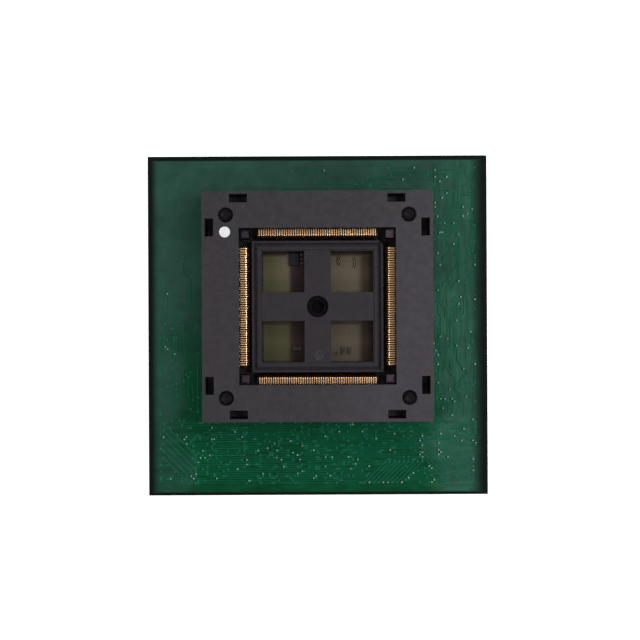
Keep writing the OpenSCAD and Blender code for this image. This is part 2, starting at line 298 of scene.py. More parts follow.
@dataclass(frozen=True)
class MouldedPlastic(Finish):
    """Spark-eroded thermoplastic with faint rub marks, and where set, painted sheen towards the
    right and painted shade in the middle recess.

    Attributes:
        rub: Strength of the rub marks.
        painted_sheen, painted_sheen_span: Painted sheen: how much paler it turns towards the right,
            and from where to where.
        well: Radius of the recess in the middle that painted shade darkens, in millimetres; 0 for
            none.
        painted_shade_tint, painted_shade_sheen: Tone that the painted shade leaves in the recess,
            and share of the sheen that it takes away there.
    """

    rub: float = 0.12
    painted_sheen: float = 0.0
    painted_sheen_span: Span = (-2.0, 22.0)
    well: float = 0.0
    painted_shade_tint: float = 0.2
    painted_shade_sheen: float = 0.75

    def colour_at(self, tree: Tree, where: Socket) -> Socket:
        """Returns the mottle of the resin with narrow paler rub marks, plus any painted sheen and
        painted shade.
        """
        plain = super().colour_at(tree, where)
        strokes = tree.noise(tree.stretched(where, (0.25, 5, 1), turn=0.5), 1.0, 3.0)
        marks = tree.step(strokes, 0.62, 0.72)
        patch = tree.step(tree.noise(where, 0.15, 1.0), 0.45, 0.6)
        wear_and_painted_light = tuple(min(1.0, 3.5 * c) for c in self.colour)
        rubs_and_painted_light = tree.blend(tree.times(marks, patch, self.rub), plain, wear_and_painted_light)
        # Painted sheen: the resin turns paler towards the right, where the lights reflect on it.
        if self.painted_sheen:
            x, y, _ = tree.axes(where)
            along = tree.maths("ADD", x, tree.times(y, -0.25))
            rubs_and_painted_light = tree.blend(
                tree.step(along, *self.painted_sheen_span), rubs_and_painted_light, tree.tint(rubs_and_painted_light, 1.0 + self.painted_sheen)
            )
        # Painted shade darkens the recess round the socket's middle.
        if self.well:
            dark = tree.tint(rubs_and_painted_light, self.painted_shade_tint)
            rubs_and_painted_light = tree.blend(self.painted_shade_at(tree, where), rubs_and_painted_light, dark)
        return rubs_and_painted_light

    def painted_shade_at(self, tree: Tree, where: Socket) -> Socket:
        """Returns 1 inside the recess round the socket's middle, where the painted shade lies, and 0
        outside it.
        """
        return tree.step(tree.reach(where, (0.0, SOCKET.y)), self.well + 0.1, self.well)

    def dress(self, tree: Tree, shader: Node, where: Socket) -> None:
        """Joins the finish to the shader, with less sheen where the painted shade lies."""
        super().dress(tree, shader, where)
        if self.well:
            dim = tree.times(self.painted_shade_at(tree, where), -self.painted_shade_sheen * self.gloss)
            tree.join(tree.maths("ADD", dim, self.gloss), shader.inputs["Specular IOR Level"])


@dataclass(frozen=True)
class PaintedLightPlastic(MouldedPlastic):
    """The base's plastic, with painted light on its corner stops and painted shade on its guide
    posts.

    Attributes:
        pale, palest: How much paler the painted light makes the stops, and how much more on the far
            right.
        stop_reach: The stops lie nearer to the middle than this, and the posts further out.
        stop_top, right_stop: Heights, and places on the right, over which the painted light on the
            stops grows.
        post_top, post_shade_share: Heights over which painted shade darkens the posts, and how dark.
    """

    pale: float = 6.5
    palest: float = 3.2
    stop_reach: float = 17.2
    stop_top: Span = (15.8, 17.2)
    right_stop: Span = (13.6, 16.9)
    post_top: Span = (18.0, 19.0)
    post_shade_share: float = 0.7

    def colour_at(self, tree: Tree, where: Socket) -> Socket:
        """Returns the resin's colour, with painted light on the stops, strongest on the right."""
        plain = super().colour_at(tree, where)
        x, _, z = tree.axes(where)
        stops = tree.maths("LESS_THAN", tree.size(x), self.stop_reach)
        # Painted light: the stops' tops turn paler, most on the right where the light falls.
        wear_and_painted_light = tree.blend(
            tree.step(x, *self.right_stop),
            tree.tint(plain, self.pale),
            tree.tint(plain, self.palest * self.pale),
        )
        return tree.blend(tree.times(tree.step(z, *self.stop_top), stops), plain, wear_and_painted_light)

    def painted_shade_at(self, tree: Tree, where: Socket) -> Socket:
        """Returns where painted shade lies: 1 inside the recess, most of 1 on the guide posts and 0
        elsewhere.
        """
        x, _, z = tree.axes(where)
        outer = tree.maths("GREATER_THAN", tree.size(x), self.stop_reach)
        # Painted shade on the guide posts, which stand deep in the cover's holes.
        posts = tree.times(tree.step(z, *self.post_top), outer, self.post_shade_share)
        return tree.largest(super().painted_shade_at(tree, where), posts)


@dataclass(frozen=True)
class MarkedPlastic(MouldedPlastic):
    """Moulded plastic with one round mould mark, whose floor is rough and pale in specks.

    Attributes:
        mark, mark_radius: The mark's middle and radius, in millimetres.
        speck: How much paler the specks are.
    """

    mark: Span = (0.0, 0.0)
    mark_radius: float = 1.0
    speck: float = 3.5

    def colour_at(self, tree: Tree, where: Socket) -> Socket:
        """Returns the resin's colour with pale specks inside the mark."""
        plain = super().colour_at(tree, where)
        reach = tree.reach(where, self.mark)
        inside = tree.step(reach, self.mark_radius + 0.05, self.mark_radius - 0.05)
        specks = tree.step(tree.noise(where, 2.6, 2.0), 0.46, 0.6)
        return tree.blend(tree.times(inside, specks), plain, tree.tint(plain, self.speck))


@dataclass(frozen=True)
class Plated(Finish):
    """Drawn or rolled metal with a slightly uneven tone.

    Attributes:
        tarnish: The tone that it turns towards in patches.
    """

    metal: float = 1.0
    tarnish: Colour = (0.78, 0.40, 0.20)

    def colour_at(self, tree: Tree, where: Socket) -> Socket:
        """Returns the plate's tone, turning warmer in patches."""
        patch = tree.step(tree.noise(where, 0.5, 2.0), 0.35, 0.75)
        return tree.blend(tree.times(patch, 0.5), self.colour, self.tarnish)


@dataclass(frozen=True)
class SolderMask(Finish):
    """Cured green ink on the board, bare laminate at its cut sides and in the mask's opening, with
    painted haze and sheen on the ink and painted shadow strips in the opening.

    A span gives the two places between which a tone changes, in millimetres.

    Attributes:
        border, laminate: Tones of the rim and of the cut sides.
        open_left, open_right, painted_shadow: Bare laminate, and the painted shadow strips along the
            windows' walls.
        painted_haze, painted_sheen_right: Ink paled by painted haze, and by painted sheen on the
            right.
        front, busy_right: Where traces run from side to side, and where they lie dense.
        haze_left_span, haze_rear_span, sheen_right_span: Where the painted haze and the painted
        sheen set in.
        opening: Half the width of the mask's opening below the socket.
        shadow_strip_left, shadow_strip_right, shadow_strip_rim, shadow_strip_rear: Edges of the
        painted shadow strips.
        shadow_strip_row: How far in front of the socket's middle a bar of painted shadow crosses.
    """

    border: Colour = (0.0015, 0.0045, 0.004)
    laminate: Colour = (0.12, 0.11, 0.05)
    open_left: Colour = (0.076, 0.072, 0.036)
    open_right: Colour = (0.108, 0.090, 0.062)
    painted_shadow: Colour = (0.040, 0.024, 0.023)
    painted_haze: Colour = (0.019, 0.060, 0.044)
    painted_sheen_right: Colour = (0.021, 0.083, 0.054)
    front: Span = (18.0, 24.0)
    busy_right: Span = (24.0, 28.0)
    haze_left_span: Span = (27.0, 33.0)
    haze_rear_span: Span = (-22.0, 12.0)
    sheen_right_span: Span = (22.0, 30.0)
    opening: float = 13.0
    shadow_strip_left: Span = (-6.9, -5.6)
    shadow_strip_right: Span = (8.9, 10.4)
    shadow_strip_rim: Span = (11.2, 11.8)
    shadow_strip_rear: Span = (11.0, 12.0)
    shadow_strip_row: float = 3.0

    def ink_at(self, tree: Tree, where: Socket) -> Socket:
        """Returns the ink with its painted haze and sheen and the copper that shows through."""
        x, y, _ = tree.axes(where)
        front = tree.step(tree.times(y, -1.0), *self.front)
        across = tree.noise(tree.stretched(where, (1.3, 0.2, 1.0)), 1.0)
        along = tree.noise(tree.stretched(where, (0.2, 1.3, 1.0)), 1.0)
        streaks = tree.spread(tree.mix(front, across, along), 0.8, 1.2)
        busy = tree.largest(front, tree.step(x, *self.busy_right))
        tone = tree.times(
            tree.spread(tree.noise(where, 0.06, 4.0), 0.8, 1.2),
            tree.spread(tree.noise(where, 0.4, 3.0), 0.88, 1.12),
            tree.mix(busy, 1.0, streaks),
        )
        # Painted haze on the left and rear, and painted sheen on the right, make the ink paler.
        drift = tree.spread(tree.noise(where, 0.12, 3.0), -3.0, 3.0)
        left = tree.times(
            tree.step(tree.maths("ADD", tree.times(x, -1.0), drift), *self.haze_left_span),
            tree.spread(tree.step(y, -34, -12), 0.55, 0.85),
        )
        haze = tree.largest(left, tree.step(tree.maths("ADD", y, drift), *self.haze_rear_span))
        right = tree.step(tree.maths("ADD", x, drift), *self.sheen_right_span)
        ink = tree.blend(right, tree.blend(haze, self.colour, self.painted_haze), self.painted_sheen_right)
        return tree.tint(ink, tone)

    def bare_at(self, tree: Tree, where: Socket) -> Socket:
        """Returns the bare laminate below the windows, with painted shadow strips along the windows'
        right and rear walls.
        """
        x, y, _ = tree.axes(where)
        mid = tree.maths("SUBTRACT", y, SOCKET.y)
        rear = tree.step(mid, -1, 1)
        green = tree.blend(rear, self.open_left, tree.tint(self.open_left, 1.3))
        tan = tree.blend(rear, self.open_right, tree.tint(self.open_right, 1.25))
        slant = tree.maths("ADD", x, tree.times(mid, 0.45))
        bare = tree.blend(tree.step(slant, -8.0, -2.0), green, tan)
        # Painted shadow: strips along each window's right-hand and rear walls, where the walls shade
        # the board.
        left = tree.times(tree.step(x, *self.shadow_strip_left), tree.maths("LESS_THAN", x, 0.0))
        right = tree.maths(
            "ADD",
            tree.times(tree.step(x, *self.shadow_strip_right), tree.spread(rear, 0.8, 0.55)),
            tree.times(tree.step(x, *self.shadow_strip_rim), 0.35),
        )
        row = tree.step(tree.size(tree.maths("ADD", mid, self.shadow_strip_row)), 1.3, 0.7)
        painted_shadow = tree.largest(left, right, tree.times(row, 0.6), tree.step(mid, *self.shadow_strip_rear))
        weave = tree.spread(tree.noise(where, 2.2), 0.92, 1.08)
        return tree.tint(tree.blend(painted_shadow, bare, self.painted_shadow), weave)

    def colour_at(self, tree: Tree, where: Socket) -> Socket:
        """Returns the ink with its rim, the mask's opening and the cut sides."""
        x, y, z = tree.axes(where)
        reach = tree.largest(tree.size(x), tree.size(tree.maths("SUBTRACT", y, SOCKET.y)))
        opening = tree.times(
            tree.maths("LESS_THAN", reach, self.opening),
            tree.maths("GREATER_THAN", z, (BOARD_TOP + BOARD_UNDER) / 2),
        )
        colour = tree.blend(opening, self.ink_at(tree, where), self.bare_at(tree, where))
        rim = tree.largest(
            tree.step(x, 33.4, 37.4),
            tree.step(y, 36.9, 37.3),
            tree.step(tree.times(x, -1.0), 35.6, 37.6),
            tree.step(tree.times(y, -1.0), 37.2, 37.6),
        )
        colour = tree.blend(rim, colour, self.border)
        _, _, up = tree.axes(tree.node("ShaderNodeNewGeometry").outputs["Normal"])
        side = tree.maths("LESS_THAN", tree.size(up), 0.4)
        layers = tree.node(
            "ShaderNodeTexWave",
            {"Vector": where, "Scale": 2.4, "Distortion": 1.5},
            bands_direction="Z",
        ).outputs["Fac"]
        cut_side = tree.blend(layers, tree.tint(self.laminate, 0.7), self.laminate)
        return tree.blend(side, colour, cut_side)

    def height_at(self, tree: Tree, where: Socket) -> Socket:
        """Returns the slight orange peel of the cured ink."""
        return tree.noise(where, 1.6)


@dataclass(frozen=True)
class StageCard(Finish):
    """Plain pale sheet, lit from within as on a light table and clear from below.

    Attributes:
        glow: Strength of its own light.
    """

    glow: float = 0.65

    def dress(self, tree: Tree, shader: Node, where: Socket) -> None:
        """Joins a faint tone to the shader and lets it be seen through from below."""
        tree.join(self.colour_at(tree, where), shader.inputs["Base Color"])
        shader.inputs["Emission Color"].default_value = (1.0, 1.0, 1.0, 1.0)
        shader.inputs["Emission Strength"].default_value = self.glow
        below = tree.node("ShaderNodeNewGeometry").outputs["Backfacing"]
        clear = tree.node("ShaderNodeBsdfTransparent").outputs[0]
        mix = tree.node("ShaderNodeMixShader", {0: below, 1: shader.outputs[0], 2: clear})
        output = next(n for n in tree.tree.nodes if n.type == "OUTPUT_MATERIAL")
        tree.join(mix.outputs[0], output.inputs["Surface"])

    def colour_at(self, tree: Tree, where: Socket) -> Socket:
        """Returns the sheet's even tone."""
        return tree.tint(self.colour, tree.spread(tree.noise(where, 0.01), 0.99, 1.0))


# The cover carries a painted sheen that makes it paler towards its right-hand side.
COVER_RESIN = MouldedPlastic(
    "cover_resin", "cover_plastic", (0.0102, 0.0078, 0.0116), 0.55, 9.0, gloss=0.33, painted_sheen=1.25
)
# Painted light on the stops' tops, painted shade on the guide posts and in the middle recess.
BASE_RESIN = PaintedLightPlastic(
    "base_resin", "base_plastic", (0.007, 0.005, 0.007), 0.4, 9.0, gloss=0.15, well=2.35
)
# Painted shade darkens the nest's middle recess.
NEST_RESIN = MarkedPlastic(
    "nest_resin", "nest_plastic", (0.0155, 0.0118, 0.0160), 0.5, 9.0, gloss=0.2, well=2.35,
    mark=(0.2, SOCKET.y - 10.7), mark_radius=1.15,
)
STRIP_RESIN = MouldedPlastic("strip_resin", "strip_plastic", (0.008, 0.008, 0.009), 0.4, 7.0)
GOLD = Plated("gold_flash", "gold_plate", (1.0, 0.61, 0.32), 0.21, 14.0, 0.001)
# Gold of the contact roots, darkened with painted shade as they lie under the cover's edge.
SHADED_ROOT_GOLD = Plated(
    "shaded_root_flash", "gold_plate", (0.22, 0.11, 0.07), 0.3, 14.0, 0.004, tarnish=(0.12, 0.05, 0.04)
)
STEEL = Plated(
    "spring_wire", "spring_steel", (0.50, 0.50, 0.52), 0.3, 12.0, 0.004, tarnish=(0.35, 0.34, 0.34)
)
TIN = Plated(
    "tin_solder", "spring_steel", (0.70, 0.71, 0.72), 0.25, 3.0, 0.01, tarnish=(0.5, 0.5, 0.5)
)
PAINT = Finish("white_fill", "white_paint", (0.68, 0.68, 0.70), 0.5, 4.0, 0.02)
# The ink's paler areas are painted haze and sheen, and the dark strips in its opening are painted
# shadow.
INK = SolderMask(
    "board_ink", "board_green", (0.0002, 0.050, 0.0175), 0.4, 1.6, 0.01, gloss=0.035
)
TRACE_INK = Finish("trace_ink", "board_green", (0.0016, 0.081, 0.037), 0.3, 2.0, 0.006, gloss=0.06)
BUNDLE_INK = Finish("bundle_ink", "board_green", (0.006, 0.098, 0.054), 0.3, 2.0, 0.006, gloss=0.08)
RING_INK = Finish("ring_ink", "board_green", (0.012, 0.15, 0.092), 0.3, 2.0, 0.006, gloss=0.1)
# Painted glint: a pale tone standing in for light glancing off a via.
PAINTED_GLINT = Finish("via_painted_glint", "board_green", (0.20, 0.42, 0.33), 0.2, 2.0, 0.006)
# Near-black disc of painted shade, standing in for a via's open hole.
HOLE_SHADE = Finish("via_hole_shade", "board_green", (0.001, 0.006, 0.004), 0.4, 3.0, 0.01, gloss=0.03)
# Chip joints: a near-black tone, which is painted shade on the joints in the window's shadow strip
# and a dull tone on the rest.
SHADED_JOINT = Finish("dull_shaded_joint", "spring_steel", (0.07, 0.055, 0.075), 0.3, 6.0, 0.01)
CHIP = Finish("chip_body", "base_plastic", (0.006, 0.004, 0.008), 0.35, 6.0, 0.01, gloss=0.15)
TAN_CHIP = Finish("chip_tan", "base_plastic", (0.032, 0.022, 0.015), 0.5, 6.0, 0.01, gloss=0.2)
END_CAP = Finish("chip_ends", "base_plastic", (0.055, 0.043, 0.034), 0.45, 6.0, 0.01, gloss=0.2)
# Painted highlight along the crest of the window arcs.
ARC_HIGHLIGHT = Finish("arc_painted_highlight", "base_plastic", (0.17, 0.14, 0.095), 0.45, 6.0, 0.01, gloss=0.3)
CARD = StageCard("stage_sheet", "white_paint", (0.92, 0.92, 0.92), 0.9)


# ---- making pieces ----


def link(name: str, mesh: Mesh, *finishes: Finish) -> Object:
    """Puts a mesh in the scene as a new object with these finishes in its slots."""
    log.info("piece %s", name)
    obj = bpy.data.objects.new(name, mesh)
    bpy.context.scene.collection.objects.link(obj)
    mesh.materials.clear()
    for finish in finishes:
        mesh.materials.append(finish.material())
    return obj


def settle(obj: Object, body: Body) -> Object:
    """Makes a finished piece ride on its body."""
    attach(obj, body.value)
    return obj


def baked(obj: Object) -> Object:
    """Replaces an object's mesh by its modifiers' result and removes the modifiers."""
    graph = bpy.context.evaluated_depsgraph_get()
    mesh = bpy.data.meshes.new_from_object(obj.evaluated_get(graph), depsgraph=graph)
    old = obj.data
    obj.modifiers.clear()
    obj.data = mesh
    bpy.data.meshes.remove(old)
    return obj


def mesh_of(bm: bmesh.types.BMesh, name: str, smooth: bool = False) -> Mesh:
    """Turns a bmesh into a mesh and frees it."""
    mesh = bpy.data.meshes.new(name)
    for face in bm.faces:
        face.smooth = smooth
    bm.to_mesh(mesh)
    bm.free()
    return mesh


def harden(mesh: Mesh) -> None:
    """Points each corner's normal along the widest flat area that it touches.

    Flat faces then stay flat up to their rounded edges, and the facets of a bore stay smooth.

    Args:
        mesh: The mesh, with its edges already rounded.
    """
    bm = bmesh.new()
    bm.from_mesh(mesh)
    bm.faces.ensure_lookup_table()
    area: dict[int, float] = {}
    for seed in bm.faces:
        if seed.index in area:
            continue
        area[seed.index] = 0.0
        region, stack = [], [seed]
        while stack:
            face = stack.pop()
            region.append(face)
            for other in (f for edge in face.edges for f in edge.link_faces):
                if other.index not in area and face.normal.dot(other.normal) > FLAT:
                    area[other.index] = 0.0
                    stack.append(other)
        whole = sum(face.calc_area() for face in region) / MM**2
        area.update({face.index: whole for face in region})
    normals = []
    for vert in bm.verts:
        groups: list[tuple[float, Vector]] = []
        for face in vert.link_faces:
            if all(face.normal.dot(n) < FLAT for _, n in groups):
                groups.append((area[face.index], face.normal.copy()))
        total = sum((n * a**3 for a, n in groups), Vector())
        normals.append(total.normalized() if total.length else vert.normal)
    bm.free()
    mesh.normals_split_custom_set_from_vertices(normals)


def finish_node(node: str, finish: Finish) -> None:
    """Gives a CAD node's object a finish."""
    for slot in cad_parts[node].material_slots:
        slot.material = finish.material()


def softened(node: str, finish: Finish, body: Body, radius: float) -> None:
    """Replaces a CAD node by a copy whose edges have a small radius, as a mould gives.

    Args:
        node: The CAD node.
        finish: The copy's finish.
        body: The body it rides on.
        radius: Width of the rounded edges, in millimetres.
    """
    bm = bmesh.new()
    bm.from_mesh(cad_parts[node].data)
    bmesh.ops.remove_doubles(bm, verts=bm.verts, dist=WELD)
    obj = link(f"{node}_moulded", mesh_of(bm, node, smooth=True), finish)
    bevel = obj.modifiers.new("edges", "BEVEL")
    bevel.width = radius * MM
    bevel.segments = 2
    bevel.limit_method = "ANGLE"
    bevel.angle_limit = math.radians(SHARP)
    bevel.use_clamp_overlap = True
    harden(baked(obj).data)
    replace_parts(settle(obj, body), node)


# ---- geometry nodes ----

# how far a via's painted shade disc lies above the board, inside its ring and beside it
HOLE_LIFT = 0.006
HOLE_LIFT_ASIDE = 0.034


class Pattern:
    """A geometry node group with named inputs, run once on an object and then baked."""

    def __init__(self, name: str) -> None:
        """Args:
        name: The group's name.
        """
        self.group = bpy.data.node_groups.new(name, "GeometryNodeTree")
        self.tree = Tree(self.group)
        face = self.group.interface
        face.new_socket("Geometry", in_out="INPUT", socket_type="NodeSocketGeometry")
        face.new_socket("Geometry", in_out="OUTPUT", socket_type="NodeSocketGeometry")
        self.entry = self.group.nodes.new("NodeGroupInput")
        self.values: dict[str, object] = {}

    def number(self, name: str, value: float) -> Socket:
        """Adds a named number to the group's inputs and returns its socket."""
        self.group.interface.new_socket(name, in_out="INPUT", socket_type="NodeSocketFloat")
        self.values[name] = value
        return self.entry.outputs[name]

    def close(self, parts: Sequence[tuple[Socket, Finish]]) -> None:
        """Ends the group: each part gets its material and all are joined as real meshes."""
        dressed = []
        for geometry, finish in parts:
            real = self.tree.node("GeometryNodeRealizeInstances", {0: geometry})
            dressed.append(self.tree.node(
                "GeometryNodeSetMaterial",
                {"Geometry": real.outputs[0], "Material": finish.material()},
            ))
        self.tree.node("NodeGroupOutput", {0: self.tree.joined(*dressed).outputs[0]})

    def on_points(self, shape: Socket, **more: object) -> Socket:
        """Returns the shape set on each point that the group is given."""
        return self.tree.node(
            "GeometryNodeInstanceOnPoints",
            {"Points": self.entry.outputs[0], "Instance": shape, **more},
        ).outputs[0]

    def run(self, obj: Object) -> Object:
        """Runs the group on an object and bakes the result."""
        modifier = obj.modifiers.new(self.group.name, "NODES")
        modifier.node_group = self.group
        for item in self.group.interface.items_tree:
            if item.in_out == "INPUT" and item.name in self.values:
                modifier[item.identifier] = self.values[item.name]
        return baked(obj)


def lines_mesh(name: str, paths: Sequence[Sequence[Point]]) -> Mesh:
    """Returns a mesh of edges along the paths, given in millimetres."""
    points, edges = [], []
    for path in paths:
        first = len(points)
        points += [Vector(p) * MM for p in path]
        edges += [(first + i, first + i + 1) for i in range(len(path) - 1)]
    mesh = bpy.data.meshes.new(name)
    mesh.from_pydata(points, edges, [])
    return mesh


def points_mesh(name: str, points: Sequence[Point]) -> Mesh:
    """Returns a mesh of loose points, given in millimetres."""
    mesh = bpy.data.meshes.new(name)
    mesh.from_pydata([Vector(p) * MM for p in points], [], [])
    return mesh


def tube_pattern(name: str, radius: float, sides: int, finish: Finish) -> Pattern:
    """Returns a pattern that runs a round wire along edges."""
    made = Pattern(name)
    tree = made.tree
    wire = made.number("Wire radius", radius * MM)
    curve = tree.node("GeometryNodeMeshToCurve", {0: made.entry.outputs[0]})
    ring = tree.node("GeometryNodeCurvePrimitiveCircle", {"Resolution": sides, "Radius": wire})
    made.close([(tree.swept(curve, ring), finish)])
    return made


def rib_pattern(name: str, width: float, height: float, finish: Finish) -> Pattern:
    """Returns a pattern that runs a low flat-topped rib along edges that lie flat.

    Args:
        name: The group's name.
        width: The rib's width, in millimetres.
        height: How far it stands above the edges, in millimetres; it goes as deep below them.
        finish: The rib's finish.
    """
    made = Pattern(name)
    tree = made.tree
    half = made.number("Half width", width / 2 * MM)
    tall = made.number("Height", height * MM)
    curve = tree.node("GeometryNodeMeshToCurve", {0: made.entry.outputs[0]})
    level = tree.node("GeometryNodeSetCurveNormal", {0: curve.outputs[0]}, mode="Z_UP")
    bar = tree.node("GeometryNodeCurvePrimitiveQuadrilateral", mode="RECTANGLE")
    tree.join(tree.times(half, 2.0), bar.inputs["Width"])
    tree.join(tree.times(tall, 2.0), bar.inputs["Height"])
    made.close([(tree.swept(level, bar), finish)])
    return made


def ring_pattern(
    name: str, radius: float, lip: float, finish: Finish, well: Finish, aside: float = 0.0
) -> Pattern:
    """Returns a pattern that sets a raised ring on each point, with a dark disc of painted shade for
    its hole.

    Args:
        name: The group's name.
        radius: The ring's radius, in millimetres.
        lip: Radius of the ring's own section, in millimetres.
        finish: The ring's finish.
        well: The finish of the painted shade disc.
        aside: How far the disc lies to the left of the ring's middle, in millimetres; set aside, it
            is a painted shadow beside the ring.
    """
    made = Pattern(name)
    tree = made.tree
    size = made.number("Ring radius", radius * MM)
    edge = made.number("Lip radius", lip * MM)
    run = tree.node("GeometryNodeCurvePrimitiveCircle", {"Resolution": 12, "Radius": size})
    profile = tree.node("GeometryNodeCurvePrimitiveCircle", {"Resolution": 6, "Radius": edge})
    torus = tree.swept(run, profile, caps=False)
    disc = tree.node(
        "GeometryNodeMeshCircle",
        {"Vertices": 12, "Radius": tree.maths("ADD", size, aside * 0.5 * MM)},
        fill_type="NGON",
    )
    lift = HOLE_LIFT_ASIDE if aside else HOLE_LIFT
    lifted = tree.moved(disc, Translation=(-aside * MM, 0, lift * MM))
    hole = made.on_points(lifted.outputs[0])
    made.close([(made.on_points(torus), finish), (hole, well)])
    return made


# ---- board dressing ----


EDGE = BOARD_HALF - 2.5
# parallel traces: start, direction, offset of the next one, how many, and cells in each
BUNDLES = (
    ((27.5, -22.5), (1, -1), (0, -2), 9, 14),
    ((23.5, -24.5), (1, -1), (0, -2), 6, 11),
    ((-35.0, -22.0), (1, -1), (0, -3), 6, 14),
    ((10.5, -35.5), (1, 1), (2, 0), 9, 9),
    ((28.0, 24.0), (1, 1), (0, -2), 6, 9),
    ((-24.0, -23.0), (1, 0), (0, -3), 5, 14),
    ((29.0, 6.0), (0, -1), (3, 0), 4, 18),
)
# random traces: two corners of a box, direction, tries, cells in each, and chance of a side step
FILLS = {
    Face.TOP: (
        ((-EDGE, -EDGE), (EDGE, -21.6), (1, 0), 1300, (6, 40), 0.07),
        ((26, -24), (EDGE, 34), (0, 1), 90, (5, 24), 0.12),
        ((26, -24), (EDGE, 34), (1, 0), 50, (4, 12), 0.1),
        ((-EDGE, -24), (-26, 0), (0, 1), 30, (6, 30), 0.08),
        ((0, 30.5), (EDGE, EDGE), (1, 0), 22, (8, 30), 0.08),
    ),
    Face.UNDER: (
        ((-EDGE, -EDGE), (EDGE, EDGE), (1, 0), 300, (6, 30), 0.1),
        ((-EDGE, -EDGE), (EDGE, EDGE), (0, 1), 300, (6, 30), 0.1),
    ),
}
# single vias: two corners of a box, and how many
SCATTERS = (
    ((26, -30), (EDGE, 34), 110),
    ((25.8, -9.0), (27.2, -3.0), 24),
    ((-30, -EDGE), (EDGE, -22), 90),
)


@dataclass
class Routing:
    """Traces and vias on one face of the board, walked over a square grid of lanes.

    Attributes:
        face, seed: The face of the board, and the seed of the random walk.
        step: Grid spacing, in millimetres.
        margin: Bare rim along the board's edge.
        cover_half: Half the square round the socket's middle that stays free on top.
        strip_inner, strip_half: Where the strips begin, and half their length.
        tail_rows: Band round the socket's middle where the tails come through.
        width, height: Size of a trace.
        lip: Radius of a via ring's own section.
        glint_x, glint_shares: Share of the vias that carry a painted glint, left and right of this.
        shortest: Fewest cells that a trace covers.
    """

    face: Face
    seed: int
    step: float = 0.52
    margin: float = 2.3
    cover_half: float = 25.6
    strip_inner: float = 31.2
    strip_half: float = 18.5
    tail_rows: Span = (14.0, 22.2)
    width: float = 0.22
    height: float = 0.03
    lip: float = 0.07
    glint_x: float = 24.0
    glint_shares: Span = (0.13, 0.22)
    shortest: int = 4
    taken: set[Cell] = field(default_factory=set)
    paths: list[list[Cell]] = field(default_factory=list)
    bright: list[list[Cell]] = field(default_factory=list)
    ends: set[Cell] = field(default_factory=set)

    def __post_init__(self) -> None:
        """Starts the random walk's own generator."""
        self.rng = random.Random(self.seed)

    def free(self, cell: Cell) -> bool:
        """Returns whether a cell is on the open board and not used yet."""
        x, y = cell[0] * self.step, cell[1] * self.step
        if cell in self.taken or max(abs(x), abs(y)) > BOARD_HALF - self.margin:
            return False
        reach = max(abs(x), abs(y - SOCKET.y))
        if self.face is Face.TOP:
            return reach > self.cover_half
        on_strip = (
            max(abs(x), abs(y)) > self.strip_inner and min(abs(x), abs(y)) < self.strip_half
        )
        return not on_strip and not self.tail_rows[0] < reach < self.tail_rows[1]

    def cell_at(self, x: float, y: float) -> Cell:
        """Returns the cell nearest to a place, given in millimetres."""
        return round(x / self.step), round(y / self.step)

    def random_cell(self, low: Span, high: Span) -> Cell:
        """Returns a random cell of a box."""
        x = self.rng.uniform(low[0], high[0])
        return self.cell_at(x, self.rng.uniform(low[1], high[1]))

    def walk(self, cell: Cell, run: Cell, length: int, jog: float) -> None:
        """Lays one trace from a cell along run, stepping aside at random.

        Args:
            cell: Where it starts.
            run: Its main direction.
            length: How many cells it may cover.
            jog: Chance of a diagonal step at each cell.
        """
        if not self.free(cell):
            return
        path = [cell]
        aside = 0
        for _ in range(length):
            turn = 0
            if aside:
                turn = int(math.copysign(1, aside))
                aside -= turn
            elif self.rng.random() < jog:
                aside = self.rng.choice((-1, 1)) * self.rng.randint(0, 3)
            side = (-run[1] * turn, run[0] * turn)
            last = path[-1]
            nxt = (last[0] + run[0] + side[0], last[1] + run[1] + side[1])
            beside = (last[0] + side[0], last[1] + side[1])
            if not self.free(nxt) or (turn and beside in self.taken):
                break
            path.append(nxt)
        if len(path) < self.shortest:
            return
        self.taken.update(path)
        self.paths.append(path)
        self.ends.update((path[0], path[-1]))

    def bundle(self, start: Span, run: Cell, gap: Cell, count: int, length: int) -> None:
        """Lays parallel traces, each gap further on."""
        cell = self.cell_at(*start)
        before = len(self.paths)
        for k in range(count):
            self.walk((cell[0] + gap[0] * k, cell[1] + gap[1] * k), run, length, 0.0)
        self.bright += self.paths[before:]
        del self.paths[before:]

    def fill(self, low: Span, high: Span, run: Cell, tries: int, length: Cell, jog: float) -> None:
        """Walks traces from random cells of a box."""
        for _ in range(tries):
            cell = self.random_cell(low, high)
            sense = self.rng.choice((-1, 1))
            self.walk(cell, (run[0] * sense, run[1] * sense), self.rng.randint(*length), jog)

    def scatter(self, low: Span, high: Span, count: int) -> None:
        """Adds single vias in free cells of a box."""
        for _ in range(count):
            cell = self.random_cell(low, high)
            if self.free(cell):
                self.taken.add(cell)
                self.ends.add(cell)

    def place(self, cell: Cell) -> Point:
        """Returns a cell's place on the board's face, in millimetres."""
        z = BOARD_TOP if self.face is Face.TOP else BOARD_UNDER
        return cell[0] * self.step, cell[1] * self.step, z

    def build(self) -> None:
        """Lays the whole face and makes its pieces."""
        if self.face is Face.TOP:
            for bundle in BUNDLES:
                self.bundle(*bundle)
        for fill in FILLS[self.face]:
            self.fill(*fill)
        if self.face is Face.TOP:
            for scatter in SCATTERS:
                self.scatter(*scatter)
        name = f"board_{self.face.name.lower()}"
        self.make_traces(f"{name}_traces", self.paths, TRACE_INK)
        if self.bright:
            self.make_traces(f"{name}_wide_traces", self.bright, BUNDLE_INK)
        vias, glints = [], []
        for cell in sorted(self.ends):
            share = self.glint_shares[cell[0] * self.step > self.glint_x]
            (glints if self.rng.random() < share else vias).append(self.place(cell))
        self.make_vias(f"{name}_vias", vias, RING_INK, 0.17)
        # Painted glints: pale rings, each with a disc of painted shadow beside it.
        self.make_vias(f"{name}_glints", glints, PAINTED_GLINT, 0.13, aside=0.2)
        log.info("%s: %d traces, %d vias", name, len(self.paths) + len(self.bright), len(self.ends))

